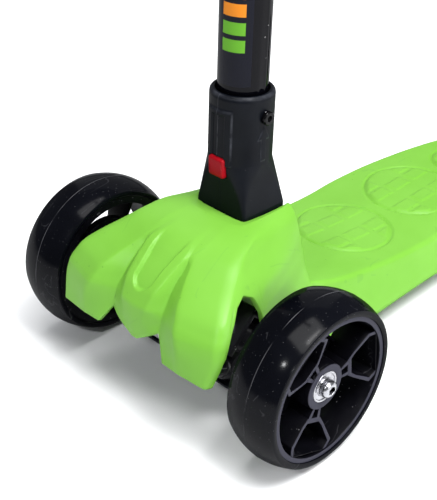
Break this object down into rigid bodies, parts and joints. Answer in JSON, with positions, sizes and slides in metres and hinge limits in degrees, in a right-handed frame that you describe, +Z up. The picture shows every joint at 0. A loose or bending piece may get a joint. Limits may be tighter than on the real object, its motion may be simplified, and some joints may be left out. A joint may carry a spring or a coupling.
{
  "type": "kick scooter",
  "caption": "Child kick scooter: wide front wheels on lean-to-steer knuckles, ribbed deck with a clawed nose, folding column with a sliding T-bar, rear wheels under a foot brake.",
  "frame": {"origin": "on the floor, under the middle of the whole scooter with the bar lowered", "axes": "+X to the rider's left, -Y forward, +Z up"},
  "size_m": [0.2478, 0.5135, 0.6795],
  "materials": {
    "green_plastic": "satin lime green nylon",
    "black_plastic": "satin black nylon",
    "black_steel": "gloss black paint",
    "black_paint": "high gloss black paint",
    "steel": "zinc plated",
    "spring_steel": "oiled spring steel",
    "tyre_rubber": "smooth cast polyurethane",
    "rim_plastic": "dark grey nylon",
    "anodised": "satin anodised",
    "red_plastic": "gloss red",
    "grip_rubber": "soft moulded rubber"
  },
  "bodies": {
    "deck": {"deck": "green_plastic", "steering_bracket": "black_steel", "bracket_screws": "steel", "kingpins": "steel", "kingpin_nuts": "steel", "belly_cover": "black_plastic", "cover_screws": "steel", "centring_springs": "spring_steel", "fold_bracket": "black_steel", "fold_screws": "steel", "fold_pin": "steel", "rear_axle_bolt": "steel", "rear_axle_nut": "steel", "rear_axle_spacers": "steel", "brake_pin": "steel", "brake_spring": "spring_steel"},
    "left_knuckle": {"left_knuckle": "black_steel", "left_link_pin": "steel", "left_axle_bolt": "steel", "left_axle_sleeve": "steel"},
    "right_knuckle": {"right_knuckle": "black_steel", "right_link_pin": "steel", "right_axle_bolt": "steel", "right_axle_sleeve": "steel"},
    "steering_link": {"steering_link": "black_steel"},
    "left_front_wheel": {"left_front_tyre": "tyre_rubber", "left_front_rim": "rim_plastic", "left_front_bearings": "steel"},
    "right_front_wheel": {"right_front_tyre": "tyre_rubber", "right_front_rim": "rim_plastic", "right_front_bearings": "steel"},
    "left_rear_wheel": {"left_rear_tyre": "tyre_rubber", "left_rear_rim": "rim_plastic", "left_rear_bearings": "steel"},
    "right_rear_wheel": {"right_rear_tyre": "tyre_rubber", "right_rear_rim": "rim_plastic", "right_rear_bearings": "steel"},
    "brake": {"rear_brake": "black_plastic", "brake_pad": "steel"},
    "column": {"socket": "black_plastic", "socket_screw": "black_steel", "socket_nut": "black_steel", "lower_tube": "black_paint", "tube_bush": "black_plastic", "clamp_collar": "black_paint", "clamp_bolt": "steel", "lever_pin": "steel", "button_spring": "spring_steel"},
    "release": {"release_button": "red_plastic", "latch": "steel"},
    "clamp_lever": {"clamp_lever": "black_paint"},
    "handlebar": {"inner_tube": "anodised", "slide_plug": "black_plastic", "tee": "black_plastic", "tee_screw": "steel", "crossbar": "anodised", "left_grip": "grip_rubber", "right_grip": "grip_rubber"}
  },
  "joints": [
    {"name": "left_steer", "type": "hinge", "parent": "deck", "child": "left_knuckle", "pos_m": [0.044, -0.195, 0.06], "axis": [0, -0.7071, 0.7071], "range_deg": [-10, 10], "stiffness_Nm_per_rad": 8, "deforming": ["centring_springs"]},
    {"name": "right_steer", "type": "hinge", "parent": "deck", "child": "right_knuckle", "pos_m": [-0.044, -0.195, 0.06], "axis": [0, -0.7071, 0.7071], "range_deg": [-10, 10]},
    {"name": "link_swing", "type": "hinge", "parent": "left_knuckle", "child": "steering_link", "pos_m": [0.044, -0.21197, 0.04303], "axis": [0, -0.7071, 0.7071], "range_deg": [-10, 10]},
    {"name": "left_front_roll", "type": "hinge", "parent": "left_knuckle", "child": "left_front_wheel", "pos_m": [0.1044, -0.195, 0.06], "axis": [1, 0, 0], "continuous": true},
    {"name": "right_front_roll", "type": "hinge", "parent": "right_knuckle", "child": "right_front_wheel", "pos_m": [-0.1044, -0.195, 0.06], "axis": [1, 0, 0], "continuous": true},
    {"name": "left_rear_roll", "type": "hinge", "parent": "deck", "child": "left_rear_wheel", "pos_m": [0.013, 0.21, 0.04], "axis": [1, 0, 0], "continuous": true},
    {"name": "right_rear_roll", "type": "hinge", "parent": "deck", "child": "right_rear_wheel", "pos_m": [-0.013, 0.21, 0.04], "axis": [1, 0, 0], "continuous": true},
    {"name": "brake_press", "type": "hinge", "parent": "deck", "child": "brake", "pos_m": [0, 0.159, 0.06], "axis": [-1, 0, 0], "range_deg": [0, 2.8], "stiffness_Nm_per_rad": 1.5, "springref_deg": -8.59, "deforming": ["brake_spring"]},
    {"name": "column_fold", "type": "hinge", "parent": "deck", "child": "column", "pos_m": [0, -0.137, 0.112], "axis": [-1, 0, 0], "range_deg": [0, 86]},
    {"name": "release_press", "type": "slide", "parent": "column", "child": "release", "axis": [0, 1, 0], "range_m": [0, 0.0032], "stiffness_N_per_m": 900, "springref_m": -0.002, "deforming": ["button_spring"]},
    {"name": "lever_open", "type": "hinge", "parent": "column", "child": "clamp_lever", "pos_m": [0.018, -0.10529, 0.46267], "axis": [0, 0.0623, 0.9981], "range_deg": [0, 110]},
    {"name": "bar_raise", "type": "slide", "parent": "column", "child": "handlebar", "axis": [0, 0.0623, 0.9981], "range_m": [0, 0.24]}
  ],
  "couplings": [
    {"joint": "right_steer", "follows": "left_steer", "ratio": 1},
    {"joint": "link_swing", "follows": "left_steer", "ratio": -1}
  ]
}
